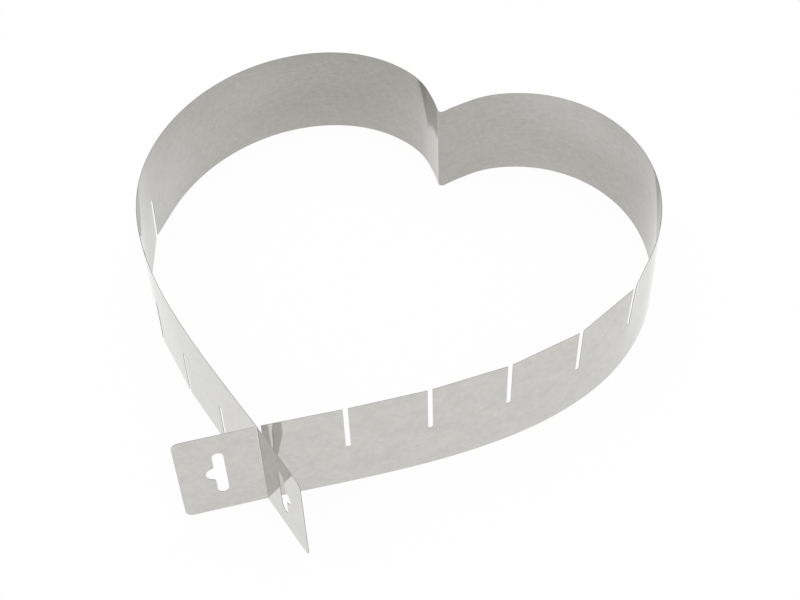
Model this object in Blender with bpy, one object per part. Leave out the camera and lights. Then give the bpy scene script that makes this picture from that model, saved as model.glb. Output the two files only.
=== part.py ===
# Adjustable heart-shaped cake ring: one strip of thin stainless steel, folded at the cleft.
# Its two arms cross at the tip, where a slot of each grips the other. Metres, +Z up, tip towards -Y.
import math

import bmesh
import bpy
from mathutils import Matrix, Vector

# The strip
BAND_HEIGHT = 0.060
SHEET_THICKNESS = 0.0003
PIECE_GAP = 0.0003

# The slots along each arm, which set the ring's size
SLOTS_PER_ARM = 6
SLOT_PITCH = 0.0439
SLOT_WIDTH = 0.0026
SLOT_PAST_MIDDLE = 0.0004

# The tab beyond the outermost slot
TAB_LENGTH = 0.0440
TAB_CORNER_RADIUS = 0.004
TAB_HALF_ANGLE = math.radians(54.0)

# The hanging hole in each tab: an upright long slot, with a round hump in its side towards the free end.
# HOLE_TO_END counts from the tab's free end to that side.
HOLE_TO_END = 0.0187
HOLE_LENGTH = 0.032
HOLE_WIDTH = 0.0058
HUMP_RADIUS = 0.0046
HUMP_FILLET = 0.0015

# The plan of the bent strip. An arm's bend grows from the tip up to the innermost slot as the distance
# to the power of ARM_BEND_GROWTH. A lobe's grows likewise, from its start radius up to the straight
# stretch beside the fold.
TIP_HALF_ANGLE = math.radians(55.5)
ARM_END_RADIUS = 0.119
ARM_BEND_GROWTH = 1.5
LOBE_START_RADIUS = 0.146
LOBE_BEND_GROWTH = 1.75
CLEFT_HALF_ANGLE = math.radians(41.5)
CLEFT_STRAIGHT = 0.0168
FOLD_WALL = 0.006
FOLD_RADIUS = 0.0016

# Smoothness of the bent and rounded stretches
PANEL_FACETS = 8
LOBE_FACETS = 64
FOLD_FACETS = 8
QUARTER_FACETS = 5

SHARP_EDGE = math.radians(30.0)

# Points of the flat sheet that are closer than this are one point
SAME_POINT = 0.000001

STAINLESS = (0.62, 0.61, 0.59, 1.0)
ROUGHNESS = 0.28


def clear_scene():
    """Start from an empty scene."""
    for old in list(bpy.data.objects):
        bpy.data.objects.remove(old)


def direction(heading):
    """Unit vector in plan for a heading, counted from +Y towards +X."""
    return Vector((math.sin(heading), math.cos(heading)))


def walk(start, runs):
    """Follow straight runs of (length, heading): the corners passed, as (distance, point)."""
    corners = [(0.0, Vector(start))]
    for length, heading in runs:
        distance, point = corners[-1]
        corners.append((distance + length, point + direction(heading) * length))
    return corners


def arm_runs():
    """Short facets of the right arm's smooth edge, from the tab's free end to the innermost slot."""
    length = SLOT_PITCH * (SLOTS_PER_ARM - 1)
    facets = PANEL_FACETS * (SLOTS_PER_ARM - 1)
    turn = length / ARM_END_RADIUS / (ARM_BEND_GROWTH + 1.0)
    runs = [(TAB_LENGTH, TAB_HALF_ANGLE)]
    for index in range(facets):
        part = (index + 0.5) / facets
        runs.append((length / facets, TIP_HALF_ANGLE - turn * part ** (ARM_BEND_GROWTH + 1.0)))
    return runs, TIP_HALF_ANGLE - turn


def lobe_runs(first_heading, length):
    """Short facets of the right lobe over its bent length, and its straight stretch up to the fold."""
    turn = first_heading - (CLEFT_HALF_ANGLE - math.pi)
    start_turn = length / LOBE_START_RADIUS
    runs = []
    for index in range(LOBE_FACETS):
        part = (index + 0.5) / LOBE_FACETS
        turned = start_turn * part + (turn - start_turn) * part ** (LOBE_BEND_GROWTH + 1.0)
        runs.append((length / LOBE_FACETS, first_heading - turned))
    runs.append((CLEFT_STRAIGHT, first_heading - turn))
    return runs


def closed_lobe(start, first_heading):
    """The right lobe, bent over as long as it takes for the fold to lie on the ring's centre line."""
    wall = direction(CLEFT_HALF_ANGLE - math.pi) * FOLD_WALL
    too_short, too_long = start.x / 2.0, start.x * 4.0
    while too_long - too_short > SAME_POINT / 1000.0:
        length = (too_short + too_long) / 2.0
        runs = lobe_runs(first_heading, length)
        reached = walk(start, runs)[-1][1] + wall
        if reached.x > 0.0:
            too_short = length
        else:
            too_long = length
    return runs


def fold_runs():
    """The fold at the cleft: a straight wall, the small round bend, and the other wall."""
    turn = math.pi - 2.0 * CLEFT_HALF_ANGLE
    first_heading = CLEFT_HALF_ANGLE - math.pi
    straight = FOLD_WALL - FOLD_RADIUS * math.tan(turn / 2.0)
    step = turn / FOLD_FACETS
    chord = 2.0 * FOLD_RADIUS * math.sin(step / 2.0)
    runs = [(straight, first_heading)]
    for index in range(FOLD_FACETS):
        runs.append((chord, first_heading + step * (index + 0.5)))
    runs.append((straight, -CLEFT_HALF_ANGLE))
    return runs


def edge_line(corners):
    """Each corner of an edge's plan as (distance, point, left), where left offsets both its facets by 1."""
    lefts = []
    for (_, start), (_, end) in zip(corners, corners[1:]):
        along = (end - start).normalized()
        lefts.append(Vector((-along.y, along.x)))
    line = []
    for index, (distance, point) in enumerate(corners):
        before = lefts[max(index - 1, 0)]
        after = lefts[min(index, len(lefts) - 1)]
        line.append((distance, point, (before + after) / (1.0 + before.dot(after))))
    return line


def bend_at(slot):
    """The smooth edge's bend at a slot, as one over its radius."""
    return (slot / (SLOTS_PER_ARM - 1)) ** ARM_BEND_GROWTH / ARM_END_RADIUS


def spring_out(slot):
    """How far the sheet stands out at a slot's mouth: each tongue stays flat and touches the smooth bend
    at its own middle."""
    return bend_at(slot) * SLOT_PITCH ** 2 / 8.0


def mouth_spread(slot):
    """How much wider than its floor a slot's mouth is: the way round over the flat tongues is longer than
    the smooth bend, and they don't stretch."""
    return bend_at(slot) ** 2 * SLOT_PITCH ** 3 / 12.0


def crossing_shift():
    """How far from the middles of their outermost slots the arms cross: each leans on the tab side of the
    other's slot."""
    crossing = 2.0 * TAB_HALF_ANGLE
    half_sheet = SHEET_THICKNESS / 2.0 * (1.0 + abs(math.cos(crossing))) / math.sin(crossing)
    return SLOT_WIDTH / 2.0 - half_sheet - PIECE_GAP / math.sin(crossing)


def arm_edges():
    """The right arm's two edges, the smooth one below and the one of straight tongues above."""
    runs, last_heading = arm_runs()
    tab_end = direction(TAB_HALF_ANGLE) * (crossing_shift() - TAB_LENGTH)
    smooth = edge_line(walk(tab_end, runs))
    mouths = []
    for slot in range(SLOTS_PER_ARM):
        _, point, left = smooth[1 + PANEL_FACETS * slot]
        mouths.append(point - left * spring_out(slot))
    straight = [smooth[0][:2]]
    for index, (distance, _, _) in enumerate(smooth[1:]):
        slot, facet = divmod(index, PANEL_FACETS)
        next_slot = min(slot + 1, SLOTS_PER_ARM - 1)
        straight.append((distance, mouths[slot].lerp(mouths[next_slot], facet / PANEL_FACETS)))
    return (smooth, edge_line(straight)), last_heading


def lobe_edges(start, first_heading):
    """The right lobe's lower and upper edges. The upper one is straight until it touches the smooth bend."""
    smooth = edge_line(walk(start, closed_lobe(start, first_heading)))
    spring = spring_out(SLOTS_PER_ARM - 1)
    reach = math.sqrt(2.0 * spring * LOBE_START_RADIUS)
    straight = []
    for distance, point, left in smooth:
        rest = max(0.0, 1.0 - distance / reach)
        straight.append((distance, point - left * spring * rest ** 2))
    return smooth, edge_line(straight)


def plan():
    """Both edges of the right arm, the right lobe and the fold, with the tip's crossing at (0, 0)."""
    arm, last_heading = arm_edges()
    lobe = lobe_edges(arm[0][-1][1], last_heading)
    fold = edge_line(walk(lobe[0][-1][1], fold_runs()))
    return arm, lobe, (fold, fold)


def arc(centre, radius, start, end, facets):
    """Points along an arc, its two ends included."""
    points = []
    for index in range(facets + 1):
        angle = start + (end - start) * index / facets
        points.append((centre[0] + radius * math.cos(angle), centre[1] + radius * math.sin(angle)))
    return points


def slot_floor():
    """Height of the closed end of a slot that is cut from the top edge."""
    return BAND_HEIGHT / 2.0 - SLOT_PAST_MIDDLE


def half_widths(slot):
    """Half the width of a slot at its floor and at its mouth."""
    return SLOT_WIDTH / 2.0, (SLOT_WIDTH + mouth_spread(slot)) / 2.0


def arm_outline():
    """Edge of the flat arm as (distance from the tab's end, height), anticlockwise."""
    last_slot = TAB_LENGTH + SLOT_PITCH * (SLOTS_PER_ARM - 1)
    half_slot, half_mouth = half_widths(SLOTS_PER_ARM - 1)
    radius = TAB_CORNER_RADIUS
    top = BAND_HEIGHT
    points = arc((radius, radius), radius, math.pi, 1.5 * math.pi, QUARTER_FACETS)
    points += [(last_slot - PIECE_GAP / 2.0, 0.0), (last_slot - PIECE_GAP / 2.0, slot_floor())]
    points += [(last_slot - half_slot, slot_floor()), (last_slot - half_mouth, top)]
    for index in reversed(range(SLOTS_PER_ARM - 1)):
        slot = TAB_LENGTH + SLOT_PITCH * index
        half_slot, half_mouth = half_widths(index)
        points += [(slot + half_mouth, top), (slot + half_slot, slot_floor())]
        points += [(slot - half_slot, slot_floor()), (slot - half_mouth, top)]
    points += arc((radius, top - radius), radius, 0.5 * math.pi, math.pi, QUARTER_FACETS)
    return points


def hanging_hole_outline():
    """Edge of the hanging hole in the flat tab, as (distance from the tab's end, height)."""
    middle = BAND_HEIGHT / 2.0
    near, far = HOLE_TO_END, HOLE_TO_END + HOLE_WIDTH
    end_radius = HOLE_WIDTH / 2.0
    end_shift = HOLE_LENGTH / 2.0 - end_radius
    shift = math.sqrt((HUMP_RADIUS + HUMP_FILLET) ** 2 - HUMP_FILLET ** 2)
    lean = math.atan2(shift, HUMP_FILLET)
    centre = (near + far) / 2.0
    points = arc((centre, middle - end_shift), end_radius, math.pi, 2.0 * math.pi, 2 * QUARTER_FACETS)
    points += arc((centre, middle + end_shift), end_radius, 0.0, math.pi, 2 * QUARTER_FACETS)
    points += arc((near - HUMP_FILLET, middle + shift), HUMP_FILLET, 0.0, -lean, QUARTER_FACETS)
    points += arc((near, middle), HUMP_RADIUS, math.pi - lean, math.pi + lean, 2 * QUARTER_FACETS)
    points += arc((near - HUMP_FILLET, middle - shift), HUMP_FILLET, lean, 0.0, QUARTER_FACETS)
    return points


def lobe_outline(length):
    """Edge of the flat lobe, whose first end is the other half of the innermost slot."""
    half_gap = PIECE_GAP / 2.0
    half_slot, half_mouth = half_widths(SLOTS_PER_ARM - 1)
    end = length - half_gap
    points = [(half_gap, 0.0), (end, 0.0), (end, BAND_HEIGHT)]
    points += [(half_mouth, BAND_HEIGHT), (half_slot, slot_floor()), (half_gap, slot_floor())]
    return points


def fold_outline(length):
    """Edge of the flat fold piece."""
    half_gap = PIECE_GAP / 2.0
    low, high = half_gap, length - half_gap
    return [(low, 0.0), (high, 0.0), (high, BAND_HEIGHT), (low, BAND_HEIGHT)]


def add_loop(blank, outline):
    """Draw one closed outline on the flat blank's back face."""
    verts = []
    for distance, height in outline:
        verts.append(blank.verts.new((distance, -SHEET_THICKNESS / 2.0, height)))
    for index, vert in enumerate(verts):
        blank.edges.new((vert, verts[(index + 1) % len(verts)]))


def cut(blank, point, normal):
    """Cut the flat blank's faces along a plane, so that the sheet can bend there."""
    everything = blank.verts[:] + blank.edges[:] + blank.faces[:]
    bmesh.ops.bisect_plane(blank, geom=everything, dist=SAME_POINT, plane_co=point, plane_no=normal)


def punch_blank(outlines, bend_distances):
    """Flat sheet of full thickness with its outline and holes, cut along its bends and at three heights."""
    blank = bmesh.new()
    for outline in outlines:
        add_loop(blank, outline)
    bmesh.ops.remove_doubles(blank, verts=blank.verts, dist=SAME_POINT)
    bmesh.ops.triangle_fill(blank, edges=blank.edges, use_beauty=True, use_dissolve=False)
    for distance in bend_distances:
        cut(blank, (distance, 0.0, 0.0), (1.0, 0.0, 0.0))
    for height in (slot_floor() / 2.0, slot_floor(), (slot_floor() + BAND_HEIGHT) / 2.0):
        cut(blank, (0.0, 0.0, height), (0.0, 0.0, 1.0))
    grown = bmesh.ops.extrude_face_region(blank, geom=blank.faces[:])
    raised = [item for item in grown["geom"] if isinstance(item, bmesh.types.BMVert)]
    bmesh.ops.translate(blank, verts=raised, vec=(0.0, SHEET_THICKNESS, 0.0))
    bmesh.ops.recalc_face_normals(blank, faces=blank.faces)
    return blank


def line_point(line, distance, offset):
    """Place in plan of a point of an edge's line, moved to its left by an offset."""
    index = 0
    while index < len(line) - 2 and line[index + 1][0] < distance:
        index += 1
    start, start_point, start_left = line[index]
    end, end_point, end_left = line[index + 1]
    part = (distance - start) / (end - start)
    return (start_point + start_left * offset).lerp(end_point + end_left * offset, part)


def bend(blank, edges, origin):
    """Bend the flat sheet so that straight lines join its two edges, and count its place from origin."""
    lower, upper = edges
    for vert in blank.verts:
        low = line_point(lower, vert.co.x, vert.co.y)
        high = line_point(upper, vert.co.x, vert.co.y)
        place = low.lerp(high, vert.co.z / BAND_HEIGHT) - origin
        vert.co = (place.x, place.y, vert.co.z)


def sheet_mesh(name, outlines, edges, origin):
    """A stretch of the strip as a mesh, shaded smooth between its crisp edges."""
    bend_distances = [distance for distance, _, _ in edges[0][1:-1]]
    blank = punch_blank(outlines, bend_distances)
    bend(blank, edges, origin)
    mesh = bpy.data.meshes.new(name)
    blank.to_mesh(mesh)
    blank.free()
    mesh.shade_smooth()
    mesh.set_sharp_from_angle(angle=SHARP_EDGE)
    return mesh


def stainless(name):
    """Bright cold-rolled stainless steel."""
    material = bpy.data.materials.new(name + "_stainless")
    material.use_nodes = True
    shader = material.node_tree.nodes["Principled BSDF"]
    shader.inputs["Base Color"].default_value = STAINLESS
    shader.inputs["Metallic"].default_value = 1.0
    shader.inputs["Roughness"].default_value = ROUGHNESS
    return material


def add_piece(name, mesh, place, turned_over=False, parent=None):
    """Place one piece. A left piece is the right one turned over about the ring's centre line."""
    piece = bpy.data.objects.new(name, mesh.copy())
    piece.data.name = name
    piece.data.materials.append(stainless(name))
    bpy.context.collection.objects.link(piece)
    world = Matrix.Translation((place.x, place.y, 0.0))
    if turned_over:
        world = Matrix.Translation((-place.x, place.y, BAND_HEIGHT)) @ Matrix.Rotation(math.pi, 4, "Y")
    if parent is not None:
        piece.parent = parent
        piece.matrix_parent_inverse = parent.matrix_world.inverted()
    piece.matrix_world = world
    bpy.context.view_layer.update()
    return piece


def build():
    """The ring, with the middle of its floor outline at the origin."""
    clear_scene()
    arm, lobe, fold = plan()
    everywhere = [point.y for edges in (arm, lobe, fold) for line in edges for _, point, _ in line]
    shift = Vector((0.0, -(min(everywhere) + max(everywhere)) / 2.0))
    shoulder = arm[0][-1][1]
    lobe_length, lobe_end, _ = lobe[0][-1]
    arm_mesh = sheet_mesh("arm", [arm_outline(), hanging_hole_outline()], arm, shoulder)
    lobe_mesh = sheet_mesh("lobe", [lobe_outline(lobe_length)], lobe, lobe_end)
    fold_mesh = sheet_mesh("fold", [fold_outline(fold[0][-1][0])], fold, lobe_end)
    right_lobe = add_piece("right_lobe", lobe_mesh, lobe_end + shift)
    add_piece("right_arm", arm_mesh, shoulder + shift, parent=right_lobe)
    cleft_fold = add_piece("cleft_fold", fold_mesh, lobe_end + shift, parent=right_lobe)
    left_lobe = add_piece("left_lobe", lobe_mesh, lobe_end + shift, turned_over=True, parent=cleft_fold)
    add_piece("left_arm", arm_mesh, shoulder + shift, turned_over=True, parent=left_lobe)
    for mesh in (arm_mesh, lobe_mesh, fold_mesh):
        bpy.data.meshes.remove(mesh)


build()
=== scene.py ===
import bisect
import math

import bmesh
import bpy
from mathutils import Euler, Matrix, Vector


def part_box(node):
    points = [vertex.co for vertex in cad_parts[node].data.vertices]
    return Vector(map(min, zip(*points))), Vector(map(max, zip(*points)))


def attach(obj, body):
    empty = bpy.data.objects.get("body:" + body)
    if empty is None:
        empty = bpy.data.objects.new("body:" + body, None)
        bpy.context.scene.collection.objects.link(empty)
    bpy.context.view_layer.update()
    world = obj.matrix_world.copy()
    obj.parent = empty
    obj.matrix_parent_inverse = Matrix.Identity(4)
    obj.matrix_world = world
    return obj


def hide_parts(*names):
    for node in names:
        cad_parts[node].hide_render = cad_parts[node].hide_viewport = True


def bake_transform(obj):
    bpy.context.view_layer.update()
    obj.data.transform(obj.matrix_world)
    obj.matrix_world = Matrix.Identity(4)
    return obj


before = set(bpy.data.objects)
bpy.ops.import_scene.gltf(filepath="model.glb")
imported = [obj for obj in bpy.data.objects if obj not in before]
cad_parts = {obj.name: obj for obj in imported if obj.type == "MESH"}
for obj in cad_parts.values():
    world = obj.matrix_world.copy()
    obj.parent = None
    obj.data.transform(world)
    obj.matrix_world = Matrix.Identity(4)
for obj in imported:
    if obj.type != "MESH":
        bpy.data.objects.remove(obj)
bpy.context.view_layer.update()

# The strip
BAND_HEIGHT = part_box("right_lobe")[1].z
SHEET_THICKNESS = 0.0003
PIECE_GAP = 0.0003
EDGE_ROUNDING = 0.00007

# The slots along each arm, cut a little past the band's middle. A slot's floor is scored at some shares of
# its half width, for its round corners. The flattening is the power of the height with which the sheet
# leaves its smooth edge's bend for the flat tongues between the slots.
SLOTS_PER_ARM = 6
SLOT_PITCH = 0.0439
SLOT_WIDTH = 0.0026
SLOT_PAST_MIDDLE = 0.0004
SLOT_CORNER = 0.0006
SLOT_FLOOR_CUTS = (-1.0, -0.8, -0.5, 0.0, 0.5, 0.8, 1.0)
TONGUE_FLATTENING = 2.0

# The tab beyond the outermost slot, and its hanging hole with a hump on the side of the tab's end
TAB_LENGTH = 0.0440
TAB_CORNER_RADIUS = 0.004
TAB_HALF_ANGLE = math.radians(54.0)
HOLE_TO_END = 0.0187
HOLE_LENGTH = 0.032
HOLE_WIDTH = 0.0058
HUMP_RADIUS = 0.0046
HUMP_FILLET = 0.0015

# The plan of the bent strip
TIP_HALF_ANGLE = math.radians(55.5)
ARM_END_RADIUS = 0.119
ARM_BEND_GROWTH = 1.5
LOBE_START_RADIUS = 0.146
LOBE_BEND_GROWTH = 1.75
CLEFT_HALF_ANGLE = math.radians(41.5)
CLEFT_STRAIGHT = 0.0168
FOLD_WALL = 0.006
FOLD_RADIUS = 0.0016
LENGTH_TOLERANCE = 0.000000001

# How sprung sheet stands beside the crease: it bows outwards near the fold, and the two pulls draw it into
# the ring, most of all at the fold itself. Each fades out over its length.
CLEFT_BOW = 0.0012
CLEFT_BOW_LENGTH = 0.060
FOLD_PULL = 0.0004
CLEFT_PULL = 0.0008
CLEFT_PULL_LENGTH = 0.120
BOW_TO_FULL = 27.0 / 4.0

# Smoothness of the bent and rounded stretches
ARM_FACETS_PER_PITCH = 36
LOBE_FACETS = 220
CLEFT_STRAIGHT_FACETS = 12
FOLD_WALL_FACETS = 4
FOLD_FACETS = 14
CORNER_FACETS = 8
EDGE_SEGMENTS = 2
BAND_ROWS = 5
CREASE = math.radians(35.0)
SHADED_SMOOTH_BELOW = math.radians(50.0)
FACE_AREA_WEIGHT = 50
FLAT_FACE = 0.99
SAME_POINT = 0.000001

# Finishes of the steel: the bright outer face, the duller and rougher inner face whose darker tone is
# painted shade, and the sheared edges
OUTER, INNER, SHEARED = range(3)

# The sum of a finish's marks up to which it has its dull tone, and the sum from which it has its bright one
DULL_UP_TO = 0.35
BRIGHT_FROM = 0.65

# The share of the roughness that is left along the face, and the Facing values between which it falls
GLANCING_ROUGHNESS = 0.15
GLANCING_FROM = 0.40
GLANCING_TO = 0.95
RELIEF_STRENGTH = 0.2

# The marks of the rolls, and wide patches of painted reflection: length and width of their blotches in
# metres, then detail, roughness and seed of the noise. The seed times the shift moves the noise to another
# place.
GRAIN_AND_REFLECTION_MARKS = {
    "Fine": (0.0050, 0.00060, 3.0, 0.7, 0.0),
    "Streaks": (0.013, 0.0016, 3.0, 0.6, 3.1),
    "Mottle": (0.0034, 0.0032, 4.0, 0.65, 7.7),
    "Clouds": (0.016, 0.011, 3.0, 0.55, 11.3),
    # The wide patches are painted reflection: lighter and darker stretches for the room that the inner face
    # mirrors.
    "PaintedReflection": (0.220, 0.100, 2.0, 0.5, 784.7),
}
NOISE_SHIFT = (1.0, 0.37, 0.61)

# The room
WHITE = (1.0, 1.0, 1.0, 1.0)
FLOOR_SIZE = 12.0
FLOOR_DROP = 0.0001
FLOOR_COLOUR = (0.80, 0.80, 0.80, 1.0)
FLOOR_SEEN_WHITE = 0.97
FLOOR_MIRRORED_WHITE = 0.95
ROOM_LIGHT = 1.0
LAMP_LENGTH = 1.6
LAMP_WIDTH = 1.2
LAMP_POWER = 6.0
LAMP_PLACE = (-0.3, 0.2, 1.6)
CAMERA_PLACE = (0.237859, -0.503980, 0.600940)
CAMERA_TURN = (math.radians(43.5049), math.radians(1.6586), math.radians(21.4925))
CAMERA_LENS = 62.906
CAMERA_SENSOR = 36.0
CAMERA_NEAREST = 0.01


def direction(heading):
    """Unit vector in plan for a heading, counted from +Y towards +X."""
    return Vector((math.sin(heading), math.cos(heading)))


def walk(start, runs):
    """Follow straight runs of (length, heading): the corners passed, as (distance, point)."""
    corners = [(0.0, Vector(start))]
    for length, heading in runs:
        distance, point = corners[-1]
        corners.append((distance + length, point + direction(heading) * length))
    return corners


def arm_runs():
    """The arm's smooth edge from the tab's free end to the innermost slot, and its last heading."""
    length = SLOT_PITCH * (SLOTS_PER_ARM - 1)
    facets = ARM_FACETS_PER_PITCH * (SLOTS_PER_ARM - 1)
    turn = length / ARM_END_RADIUS / (ARM_BEND_GROWTH + 1.0)
    runs = [(TAB_LENGTH, TAB_HALF_ANGLE)]
    for index in range(facets):
        part = (index + 0.5) / facets
        runs.append((length / facets, TIP_HALF_ANGLE - turn * part ** (ARM_BEND_GROWTH + 1.0)))
    return runs, TIP_HALF_ANGLE - turn


def lobe_runs(first_heading, length):
    """The right lobe: its bent length from the innermost slot, and its straight stretch up to the fold."""
    turn = first_heading - (CLEFT_HALF_ANGLE - math.pi)
    start_turn = length / LOBE_START_RADIUS
    runs = []
    for index in range(LOBE_FACETS):
        part = (index + 0.5) / LOBE_FACETS
        turned = start_turn * part + (turn - start_turn) * part ** (LOBE_BEND_GROWTH + 1.0)
        runs.append((length / LOBE_FACETS, first_heading - turned))
    runs += [(CLEFT_STRAIGHT / CLEFT_STRAIGHT_FACETS, first_heading - turn)] * CLEFT_STRAIGHT_FACETS
    return runs


def closed_lobe(start, first_heading):
    """The right lobe, bent over as long as it takes for the fold to lie on the ring's centre line."""
    wall = direction(CLEFT_HALF_ANGLE - math.pi) * FOLD_WALL
    too_short, too_long = start.x / 2.0, start.x * 4.0
    while too_long - too_short > LENGTH_TOLERANCE:
        length = (too_short + too_long) / 2.0
        runs = lobe_runs(first_heading, length)
        reached = walk(start, runs)[-1][1] + wall
        if reached.x > 0.0:
            too_short = length
        else:
            too_long = length
    return runs


def fold_runs():
    """The fold at the cleft: a straight wall, the small round bend, and the other wall."""
    turn = math.pi - 2.0 * CLEFT_HALF_ANGLE
    first_heading = CLEFT_HALF_ANGLE - math.pi
    wall = (FOLD_WALL - FOLD_RADIUS * math.tan(turn / 2.0)) / FOLD_WALL_FACETS
    step = turn / FOLD_FACETS
    chord = 2.0 * FOLD_RADIUS * math.sin(step / 2.0)
    runs = [(wall, first_heading)] * FOLD_WALL_FACETS
    for index in range(FOLD_FACETS):
        runs.append((chord, first_heading + step * (index + 0.5)))
    runs += [(wall, -CLEFT_HALF_ANGLE)] * FOLD_WALL_FACETS
    return runs


def edge_line(corners):
    """Each corner of an edge's plan as (distance, point, left), where left offsets both its facets by 1."""
    lefts = []
    for (_, start), (_, end) in zip(corners, corners[1:]):
        along = (end - start).normalized()
        lefts.append(Vector((-along.y, along.x)))
    line = []
    for index, (distance, point) in enumerate(corners):
        before = lefts[max(index - 1, 0)]
        after = lefts[min(index, len(lefts) - 1)]
        line.append((distance, point, (before + after) / (1.0 + before.dot(after))))
    return line


def bowed(corners, fold_at):
    """The edge through the corners, with the bow and the pulls beside the fold. The bow is full a third of
    its length away from the fold, where BOW_TO_FULL brings its share up to 1."""
    moved = []
    for distance, point, left in edge_line(corners):
        away = abs(distance - fold_at)
        near = min(1.0, away / CLEFT_BOW_LENGTH)
        wide = min(1.0, away / CLEFT_PULL_LENGTH)
        outwards = (1.0 - near) ** 2 * (BOW_TO_FULL * CLEFT_BOW * near - FOLD_PULL)
        inwards = CLEFT_PULL * (1.0 - wide ** 2) ** 2
        moved.append((distance, point - left * (outwards - inwards)))
    return edge_line(moved)


def bend_at(slot):
    """The smooth edge's bend at a slot, as one over its radius."""
    return (slot / (SLOTS_PER_ARM - 1)) ** ARM_BEND_GROWTH / ARM_END_RADIUS


def spring_out(slot):
    """How far the sheet stands out at a slot's mouth, because the tongues between the slots stay flat:
    the rise of the smooth bend over one pitch."""
    return bend_at(slot) * SLOT_PITCH ** 2 / 8.0


def mouth_spread(slot):
    """How much wider than its floor a slot's mouth is: the way round over the flat tongues is longer than
    the smooth bend, and they don't stretch."""
    return bend_at(slot) ** 2 * SLOT_PITCH ** 3 / 12.0


def crossing_shift():
    """How far from the middles of their outermost slots the arms cross: each leans on the tab side of the
    other's slot."""
    crossing = 2.0 * TAB_HALF_ANGLE
    half_sheet = SHEET_THICKNESS / 2.0 * (1.0 + abs(math.cos(crossing))) / math.sin(crossing)
    return SLOT_WIDTH / 2.0 - half_sheet - PIECE_GAP / math.sin(crossing)


def arm_edges():
    """The right arm's two edges, the smooth one below and the one of straight tongues above."""
    runs, last_heading = arm_runs()
    tab_end = direction(TAB_HALF_ANGLE) * (crossing_shift() - TAB_LENGTH)
    smooth = edge_line(walk(tab_end, runs))
    mouths = []
    for slot in range(SLOTS_PER_ARM):
        _, point, left = smooth[1 + ARM_FACETS_PER_PITCH * slot]
        mouths.append(point - left * spring_out(slot))
    straight = [smooth[0][:2]]
    for index, (distance, _, _) in enumerate(smooth[1:]):
        slot, facet = divmod(index, ARM_FACETS_PER_PITCH)
        next_slot = min(slot + 1, SLOTS_PER_ARM - 1)
        straight.append((distance, mouths[slot].lerp(mouths[next_slot], facet / ARM_FACETS_PER_PITCH)))
    return (smooth, edge_line(straight)), last_heading


def lobe_edges(start, first_heading):
    """The right lobe's lower and upper edges, and the point where it ends before any bow or pull. The upper
    edge is straight until it touches the smooth bend."""
    corners = walk(start, closed_lobe(start, first_heading))
    length, end = corners[-1]
    smooth = bowed(corners, length + FOLD_WALL)
    spring = spring_out(SLOTS_PER_ARM - 1)
    reach = math.sqrt(2.0 * spring * LOBE_START_RADIUS)
    straight = []
    for distance, point, left in smooth:
        rest = max(0.0, 1.0 - distance / reach)
        straight.append((distance, point - left * spring * rest ** 2))
    return (smooth, edge_line(straight)), end


def arc(centre, radius, start, end, facets):
    """Points along an arc, its two ends included."""
    points = []
    for index in range(facets + 1):
        angle = start + (end - start) * index / facets
        points.append((centre[0] + radius * math.cos(angle), centre[1] + radius * math.sin(angle)))
    return points


def hanging_hole_outline():
    """Edge of the hanging hole in the flat tab, as (distance from the tab's end, height)."""
    middle = BAND_HEIGHT / 2.0
    near, far = HOLE_TO_END, HOLE_TO_END + HOLE_WIDTH
    end_radius = HOLE_WIDTH / 2.0
    end_shift = HOLE_LENGTH / 2.0 - end_radius
    shift = math.sqrt((HUMP_RADIUS + HUMP_FILLET) ** 2 - HUMP_FILLET ** 2)
    lean = math.atan2(shift, HUMP_FILLET)
    centre = (near + far) / 2.0
    half_turn = 2 * CORNER_FACETS
    points = arc((centre, middle - end_shift), end_radius, math.pi, 2.0 * math.pi, half_turn)
    points += arc((centre, middle + end_shift), end_radius, 0.0, math.pi, half_turn)
    points += arc((near - HUMP_FILLET, middle + shift), HUMP_FILLET, 0.0, -lean, CORNER_FACETS)
    points += arc((near, middle), HUMP_RADIUS, math.pi - lean, math.pi + lean, half_turn)
    points += arc((near - HUMP_FILLET, middle - shift), HUMP_FILLET, lean, 0.0, CORNER_FACETS)
    return points


def flat_blank(length):
    """One flat rectangular face of the strip, standing in the XZ plane from distance 0 to its length."""
    blank = bmesh.new()
    stretch = Matrix.Diagonal((length, BAND_HEIGHT, 1.0, 1.0))
    upright = Matrix.Rotation(math.radians(90.0), 4, "X")
    place = Matrix.Translation((length / 2.0, 0.0, BAND_HEIGHT / 2.0))
    bmesh.ops.create_grid(blank, x_segments=1, y_segments=1, size=0.5, matrix=place @ upright @ stretch)
    return blank


def score(blank, point, normal):
    """Cut the flat blank's faces along a plane."""
    everything = blank.verts[:] + blank.edges[:] + blank.faces[:]
    bmesh.ops.bisect_plane(blank, geom=everything, dist=SAME_POINT, plane_co=point, plane_no=normal)


def score_across(blank, distance):
    """Cut the flat blank across the band."""
    score(blank, (distance, 0.0, 0.0), (1.0, 0.0, 0.0))


def score_along(blank, height):
    """Cut the flat blank along the band."""
    score(blank, (0.0, 0.0, height), (0.0, 0.0, 1.0))


def score_bends(blank, line):
    """Cut the blank at each bend between its ends, and in rows."""
    for distance, _, _ in line[1:-1]:
        score_across(blank, distance)
    for row in range(1, BAND_ROWS):
        score_along(blank, BAND_HEIGHT * row / BAND_ROWS)


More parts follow.
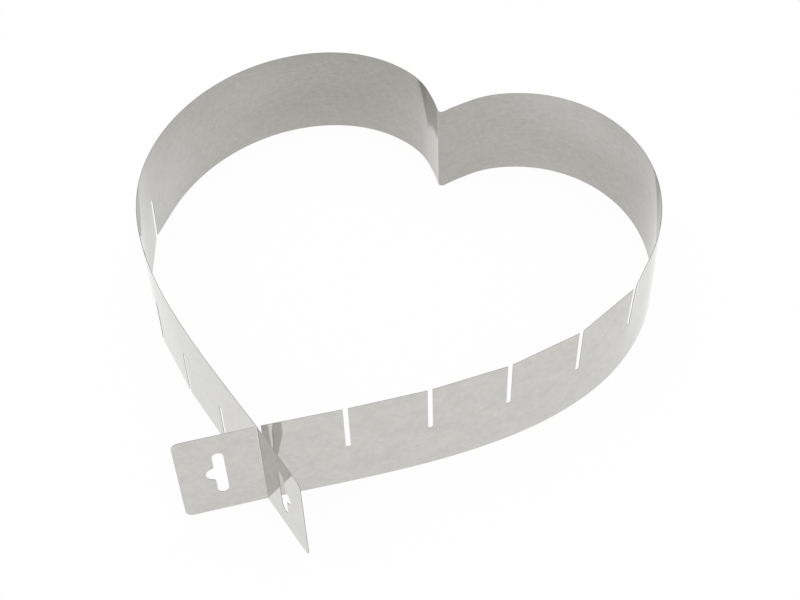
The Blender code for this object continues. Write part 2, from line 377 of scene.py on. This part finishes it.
def punch_slot(blank, distance, slot):
    """Cut one slot out of the top edge, with its floor's corners rounded and its mouth spread."""
    half = SLOT_WIDTH / 2.0
    for share in SLOT_FLOOR_CUTS:
        score_across(blank, distance + half * share)
    floor = BAND_HEIGHT / 2.0 - SLOT_PAST_MIDDLE
    score_along(blank, floor)
    inside = []
    for face in blank.faces:
        middle = face.calc_center_median()
        if middle.z > floor and abs(middle.x - distance) < half:
            inside.append(face)
    bmesh.ops.delete(blank, geom=inside, context="FACES")
    for vert in blank.verts:
        away = abs(vert.co.x - distance) - (half - SLOT_CORNER)
        if abs(vert.co.z - floor) < SAME_POINT and 0.0 < away < SLOT_CORNER + SAME_POINT:
            vert.co.z += SLOT_CORNER - math.sqrt(max(0.0, SLOT_CORNER ** 2 - away ** 2))
        elif vert.co.z > floor and abs(abs(vert.co.x - distance) - half) < SAME_POINT:
            lean = mouth_spread(slot) / 2.0 * (vert.co.z - floor) / (BAND_HEIGHT - floor)
            vert.co.x += math.copysign(lean, vert.co.x - distance)


def add_loop(blank, outline):
    """Draw a closed outline on the flat blank."""
    verts = [blank.verts.new((distance, 0.0, height)) for distance, height in outline]
    for index, vert in enumerate(verts):
        blank.edges.new((vert, verts[(index + 1) % len(verts)]))


def punch_tab(blank, tab_line):
    """Replace the blank's first stretch, up to the tab's line, with the tab: rounded corners and the
    hanging hole."""
    first = [face for face in blank.faces if face.calc_center_median().x < tab_line]
    bmesh.ops.delete(blank, geom=first, context="FACES")
    radius, top = TAB_CORNER_RADIUS, BAND_HEIGHT
    joined = [edge for edge in blank.edges if edge.is_boundary and
              all(abs(vert.co.x - tab_line) < SAME_POINT for vert in edge.verts)]
    low_end = min(joined, key=lambda edge: sum(vert.co.z for vert in edge.verts))
    high_end = max(joined, key=lambda edge: sum(vert.co.z for vert in edge.verts))
    corner_low = min(low_end.verts, key=lambda vert: vert.co.z)
    corner_high = max(high_end.verts, key=lambda vert: vert.co.z)
    outline = arc((radius, top - radius), radius, 0.5 * math.pi, math.pi, CORNER_FACETS)
    outline += arc((radius, radius), radius, math.pi, 1.5 * math.pi, CORNER_FACETS)
    verts = [corner_high] + [blank.verts.new((x, 0.0, z)) for x, z in outline] + [corner_low]
    for pair in zip(verts, verts[1:]):
        blank.edges.new(pair)
    add_loop(blank, hanging_hole_outline())
    bmesh.ops.remove_doubles(blank, verts=blank.verts, dist=SAME_POINT)
    drawn = [edge for edge in blank.edges if edge.is_wire]
    bmesh.ops.triangle_fill(blank, edges=joined + drawn, use_beauty=True, use_dissolve=False)


def thicken(blank, joins):
    """Give the flat blank its thickness, and round its cut edges except at the joins to its neighbours."""
    grown = bmesh.ops.extrude_face_region(blank, geom=blank.faces[:])
    raised = [item for item in grown["geom"] if isinstance(item, bmesh.types.BMVert)]
    bmesh.ops.translate(blank, verts=raised, vec=(0.0, SHEET_THICKNESS, 0.0))
    bmesh.ops.translate(blank, verts=blank.verts, vec=(0.0, -SHEET_THICKNESS / 2.0, 0.0))
    bmesh.ops.recalc_face_normals(blank, faces=blank.faces)
    rim = []
    for edge in blank.edges:
        on_join = any(all(abs(vert.co.x - join) < SAME_POINT for vert in edge.verts) for join in joins)
        if edge.calc_face_angle() > CREASE and not on_join:
            rim.append(edge)
    bmesh.ops.bevel(blank, geom=rim, offset=EDGE_ROUNDING, offset_type="OFFSET", segments=EDGE_SEGMENTS,
                    profile=0.5, affect="EDGES", clamp_overlap=True, material=-1)
    blank.normal_update()
    for face in blank.faces:
        if face.normal.y > FLAT_FACE:
            face.material_index = INNER
        elif face.normal.y < -FLAT_FACE:
            face.material_index = OUTER
        else:
            face.material_index = SHEARED


def line_point(line, distances, distance, offset):
    """Place in plan of a point of an edge's line, moved to its left by an offset."""
    index = min(max(bisect.bisect_left(distances, distance) - 1, 0), len(line) - 2)
    start, start_point, start_left = line[index]
    end, end_point, end_left = line[index + 1]
    part = (distance - start) / (end - start)
    return (start_point + start_left * offset).lerp(end_point + end_left * offset, part)


def bend(blank, edges, shift):
    """Bend the flat blank along its two edges. Across the band it leaves the lower, smooth edge's bend
    slowly at first, so that the half below the slots' floors keeps most of it."""
    lower, upper = edges
    distances = [distance for distance, _, _ in lower]
    for vert in blank.verts:
        low = line_point(lower, distances, vert.co.x, vert.co.y)
        high = line_point(upper, distances, vert.co.x, vert.co.y)
        place = low.lerp(high, (vert.co.z / BAND_HEIGHT) ** TONGUE_FLATTENING) + shift
        vert.co = (place.x, place.y, vert.co.z)


def lay_out(blank, origin):
    """Keep each corner's place on the flat strip as a UV map, in metres from the right tab's end."""
    flat = blank.loops.layers.uv.new("strip")
    for face in blank.faces:
        for loop in face.loops:
            loop[flat].uv = (loop.vert.co.x + origin, loop.vert.co.z)


def make_piece(name, blank, materials, turned_over=False, strip_length=0.0):
    """Turn a bent blank into a piece. A left piece is the right one turned over about the centre line."""
    if turned_over:
        turn = Matrix.Translation((0.0, 0.0, BAND_HEIGHT)) @ Matrix.Rotation(math.pi, 4, "Y")
        bmesh.ops.transform(blank, matrix=turn, verts=blank.verts)
        flat = blank.loops.layers.uv["strip"]
        for face in blank.faces:
            for loop in face.loops:
                along, height = loop[flat].uv
                loop[flat].uv = (strip_length - along, BAND_HEIGHT - height)
    mesh = bpy.data.meshes.new(name)
    blank.to_mesh(mesh)
    mesh.shade_smooth()
    mesh.set_sharp_from_angle(angle=SHADED_SMOOTH_BELOW)
    piece = bpy.data.objects.new(name, mesh)
    bpy.context.scene.collection.objects.link(piece)
    for material in materials:
        mesh.materials.append(material)
    weighted = piece.modifiers.new("even_shading", "WEIGHTED_NORMAL")
    weighted.keep_sharp = True
    weighted.weight = FACE_AREA_WEIGHT
    return piece


def arm_blank(line):
    """The flat right arm: the slotted stretch, the half of its innermost slot, and the tab."""
    last_slot = TAB_LENGTH + SLOT_PITCH * (SLOTS_PER_ARM - 1)
    blank = flat_blank(last_slot)
    score_bends(blank, line)
    for slot in range(SLOTS_PER_ARM):
        punch_slot(blank, TAB_LENGTH + SLOT_PITCH * slot, slot)
    tab_line = TAB_LENGTH - SLOT_WIDTH
    score_across(blank, tab_line)
    punch_tab(blank, tab_line)
    thicken(blank, joins=[last_slot])
    return blank


def lobe_blank(line):
    """The flat right lobe, with the other half of the innermost slot."""
    length = line[-1][0]
    blank = flat_blank(length)
    score_bends(blank, line)
    punch_slot(blank, 0.0, SLOTS_PER_ARM - 1)
    thicken(blank, joins=[0.0, length])
    return blank


def fold_blank(line):
    """The flat fold."""
    length = line[-1][0]
    blank = flat_blank(length)
    score_bends(blank, line)
    thicken(blank, joins=[0.0, length])
    return blank


def math_node(tree, operation, first, second, clamp=False):
    """A Math node; each of its two values is a socket or a number."""
    node = tree.nodes.new("ShaderNodeMath")
    node.operation = operation
    node.use_clamp = clamp
    for place, value in enumerate((first, second)):
        if isinstance(value, (int, float)):
            node.inputs[place].default_value = value
        else:
            tree.links.new(value, node.inputs[place])
    return node.outputs[0]


def stretched_noise(tree, coordinates, length, width, detail, roughness, seed):
    """Noise drawn out along the strip, with blotches of about the given length and width in metres."""
    mapping = tree.nodes.new("ShaderNodeMapping")
    mapping.inputs["Scale"].default_value = (1.0 / length, 1.0 / width, 1.0)
    mapping.inputs["Location"].default_value = [seed * share for share in NOISE_SHIFT]
    noise = tree.nodes.new("ShaderNodeTexNoise")
    noise.inputs["Scale"].default_value = 1.0
    noise.inputs["Detail"].default_value = detail
    noise.inputs["Roughness"].default_value = roughness
    tree.links.new(coordinates, mapping.inputs["Vector"])
    tree.links.new(mapping.outputs["Vector"], noise.inputs["Vector"])
    return noise.outputs["Fac"]


def grain_and_reflection_group():
    """Marks of the rolls: fine and coarser streaks along the sheet, mottle and clouds; and wide patches of
    painted reflection.
    """
    tree = bpy.data.node_groups.new("grain_and_painted_reflection", "ShaderNodeTree")
    tree.interface.new_socket(name="Strip", in_out="INPUT", socket_type="NodeSocketVector")
    for name in GRAIN_AND_REFLECTION_MARKS:
        tree.interface.new_socket(name=name, in_out="OUTPUT", socket_type="NodeSocketFloat")
    strip = tree.nodes.new("NodeGroupInput").outputs["Strip"]
    end = tree.nodes.new("NodeGroupOutput")
    for name, blotches in GRAIN_AND_REFLECTION_MARKS.items():
        tree.links.new(stretched_noise(tree, strip, *blotches), end.inputs[name])
    return tree


def strip_coordinates(tree):
    """The place on the flat strip, in metres."""
    node = tree.nodes.new("ShaderNodeUVMap")
    node.uv_map = "strip"
    return node.outputs["UV"]


def weighed(tree, marks, shares):
    """Sum of several marks, each times its share."""
    total = None
    for name, share in shares.items():
        part = math_node(tree, "MULTIPLY", marks[name], share)
        total = part if total is None else math_node(tree, "ADD", total, part)
    return total


def glancing_share(tree):
    """Share of the roughness that is left: all of it seen from the front, little seen along the face."""
    view = tree.nodes.new("ShaderNodeLayerWeight")
    view.inputs["Blend"].default_value = 0.5
    share = tree.nodes.new("ShaderNodeMapRange")
    share.inputs["From Min"].default_value = GLANCING_FROM
    share.inputs["From Max"].default_value = GLANCING_TO
    share.inputs["To Min"].default_value = 1.0
    share.inputs["To Max"].default_value = GLANCING_ROUGHNESS
    tree.links.new(view.outputs["Facing"], share.inputs["Value"])
    return share.outputs["Result"]


def steel(name, grain_and_reflection, dull, bright, shares, roughness, grip, relief):
    """Rolled steel between a dull and a bright tone. Its marks also vary the roughness by grip, and stand
    out by relief, in metres. Seen along its face it mirrors more sharply, as rolled steel does."""
    material = bpy.data.materials.new(name)
    material.use_nodes = True
    tree = material.node_tree
    shader = tree.nodes["Principled BSDF"]
    shader.inputs["Metallic"].default_value = 1.0
    look = tree.nodes.new("ShaderNodeGroup")
    look.node_tree = grain_and_reflection
    tree.links.new(strip_coordinates(tree), look.inputs["Strip"])
    marks = look.outputs
    ramp = tree.nodes.new("ShaderNodeValToRGB")
    ramp.color_ramp.elements[0].position = DULL_UP_TO
    ramp.color_ramp.elements[0].color = dull
    ramp.color_ramp.elements[1].position = BRIGHT_FROM
    ramp.color_ramp.elements[1].color = bright
    tree.links.new(weighed(tree, marks, shares), ramp.inputs["Fac"])
    tree.links.new(ramp.outputs["Color"], shader.inputs["Base Color"])
    rough = math_node(tree, "ADD", math_node(tree, "MULTIPLY", marks["Streaks"], grip), roughness)
    tree.links.new(math_node(tree, "MULTIPLY", rough, glancing_share(tree)), shader.inputs["Roughness"])
    bump = tree.nodes.new("ShaderNodeBump")
    bump.inputs["Strength"].default_value = RELIEF_STRENGTH
    bump.inputs["Distance"].default_value = relief
    tree.links.new(marks["Fine"], bump.inputs["Height"])
    tree.links.new(bump.outputs["Normal"], shader.inputs["Normal"])
    return material


def steel_finishes():
    """The three finishes of the strip, in the order OUTER, INNER, SHEARED."""
    grain_and_reflection = grain_and_reflection_group()
    outer = steel("bright_outer_face", grain_and_reflection,
                  dull=(0.526, 0.520, 0.497, 1.0), bright=(0.618, 0.612, 0.584, 1.0),
                  shares={"Fine": 0.15, "Streaks": 0.06, "Mottle": 0.52, "Clouds": 0.27},
                  roughness=0.04, grip=0.03, relief=0.000001)
    # The inner face is rougher than the outer one, and its darker tones are painted shade: the shaded floor
    # inside the ring that it mirrors.
    inner = steel("dull_inner_face_painted_shade", grain_and_reflection,
                  dull=(0.318, 0.307, 0.281, 1.0), bright=(0.518, 0.514, 0.491, 1.0),
                  # The wide patches in these shares are painted reflection.
                  shares={"Fine": 0.15, "Streaks": 0.1, "Mottle": 0.15, "PaintedReflection": 0.6},
                  roughness=0.16, grip=0.10, relief=0.000003)
    sheared = steel("sheared_edge", grain_and_reflection,
                    dull=(0.20, 0.197, 0.190, 1.0), bright=(0.31, 0.306, 0.295, 1.0),
                    shares={"Fine": 0.5, "Clouds": 0.5},
                    roughness=0.32, grip=0.12, relief=0.000006)
    return [outer, inner, sheared]


def build_strip():
    """The strip's five pieces, and the places in plan of the right shoulder and the right lobe's end."""
    arm, last_heading = arm_edges()
    lobe, fold_start = lobe_edges(arm[0][-1][1], last_heading)
    fold_corners = walk(fold_start, fold_runs())
    fold_line = bowed(fold_corners, fold_corners[-1][0] / 2.0)
    fold = (fold_line, fold_line)
    everywhere = [point.y for edges in (arm, lobe, fold) for line in edges for _, point, _ in line]
    shift = Vector((0.0, -(min(everywhere) + max(everywhere)) / 2.0))
    arm_length, lobe_length, fold_length = arm[0][-1][0], lobe[0][-1][0], fold_line[-1][0]
    strip_length = 2.0 * (arm_length + lobe_length) + fold_length
    finishes = steel_finishes()
    pieces = {}
    halves = (("arm", arm, arm_blank, 0.0), ("lobe", lobe, lobe_blank, arm_length))
    for side, turned_over in (("right", False), ("left", True)):
        for part, edges, make_blank, origin in halves:
            blank = make_blank(edges[0])
            lay_out(blank, origin)
            bend(blank, edges, shift)
            name = side + "_" + part
            pieces[name] = make_piece(name + "_sheet", blank, finishes, turned_over, strip_length)
            blank.free()
    blank = fold_blank(fold_line)
    lay_out(blank, arm_length + lobe_length)
    bend(blank, fold, shift)
    pieces["cleft_fold"] = make_piece("cleft_fold_sheet", blank, finishes)
    blank.free()
    shoulder, lobe_end = arm[0][-1][1] + shift, lobe[0][-1][1] + shift
    return pieces, shoulder, lobe_end


def flex(piece):
    """Bake the piece's placement into its mesh."""
    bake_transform(piece)


def dress_bodies(pieces, shoulder, lobe_end):
    """The right lobe's piece follows its body, the other pieces keep their place, and the imported parts
    are hidden.
    """
    flex(pieces["right_arm"])
    flex(pieces["left_arm"])
    flex(pieces["cleft_fold"])
    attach(pieces["right_lobe"], "right_lobe")
    flex(pieces["left_lobe"])
    for node, piece in pieces.items():
        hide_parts(node)


def lay_floor():
    """A plain white floor. The camera sees little of its shading, and the steel mirrors it plain white."""
    flat = bmesh.new()
    bmesh.ops.create_grid(flat, x_segments=1, y_segments=1, size=FLOOR_SIZE / 2.0,
                          matrix=Matrix.Translation((0.0, 0.0, -FLOOR_DROP)))
    mesh = bpy.data.meshes.new("floor")
    flat.to_mesh(mesh)
    flat.free()
    floor = bpy.data.objects.new("floor", mesh)
    bpy.context.scene.collection.objects.link(floor)
    material = bpy.data.materials.new("white_floor")
    material.use_nodes = True
    tree = material.node_tree
    tree.nodes.remove(tree.nodes["Principled BSDF"])
    matt = tree.nodes.new("ShaderNodeBsdfDiffuse")
    matt.inputs["Color"].default_value = FLOOR_COLOUR
    white = tree.nodes.new("ShaderNodeEmission")
    ray = tree.nodes.new("ShaderNodeLightPath")
    direct = math_node(tree, "MULTIPLY", ray.outputs["Is Camera Ray"], FLOOR_SEEN_WHITE)
    bounced = math_node(tree, "ADD", ray.outputs["Is Glossy Ray"], ray.outputs["Is Transmission Ray"])
    mirrored_white = math_node(tree, "MULTIPLY", bounced, FLOOR_MIRRORED_WHITE)
    share = math_node(tree, "ADD", direct, mirrored_white, clamp=True)
    mix = tree.nodes.new("ShaderNodeMixShader")
    tree.links.new(share, mix.inputs["Fac"])
    tree.links.new(matt.outputs["BSDF"], mix.inputs[1])
    tree.links.new(white.outputs["Emission"], mix.inputs[2])
    tree.links.new(mix.outputs["Shader"], tree.nodes["Material Output"].inputs["Surface"])
    mesh.materials.append(material)


def light_room():
    """Even white light from all round, with a soft lamp overhead that points at the ring."""
    world = bpy.data.worlds.new("white_room")
    bpy.context.scene.world = world
    world.use_nodes = True
    world.node_tree.nodes["Background"].inputs["Color"].default_value = WHITE
    world.node_tree.nodes["Background"].inputs["Strength"].default_value = ROOM_LIGHT
    lamp = bpy.data.lights.new("overhead", "AREA")
    lamp.shape = "RECTANGLE"
    lamp.size = LAMP_LENGTH
    lamp.size_y = LAMP_WIDTH
    lamp.energy = LAMP_POWER
    held = bpy.data.objects.new("overhead", lamp)
    held.location = LAMP_PLACE
    held.rotation_euler = (-held.location).to_track_quat("-Z", "Y").to_euler()
    bpy.context.scene.collection.objects.link(held)


def place_camera():
    """The photograph's viewpoint."""
    camera = bpy.data.cameras.new("photograph")
    camera.lens = CAMERA_LENS
    camera.sensor_width = CAMERA_SENSOR
    camera.clip_start = CAMERA_NEAREST
    held = bpy.data.objects.new("photograph", camera)
    held.location = CAMERA_PLACE
    held.rotation_euler = Euler(CAMERA_TURN, "XYZ")
    bpy.context.scene.collection.objects.link(held)
    bpy.context.scene.camera = held


place_camera()
dress_bodies(*build_strip())
lay_floor()
light_room()
bpy.context.scene.view_settings.view_transform = "Standard"
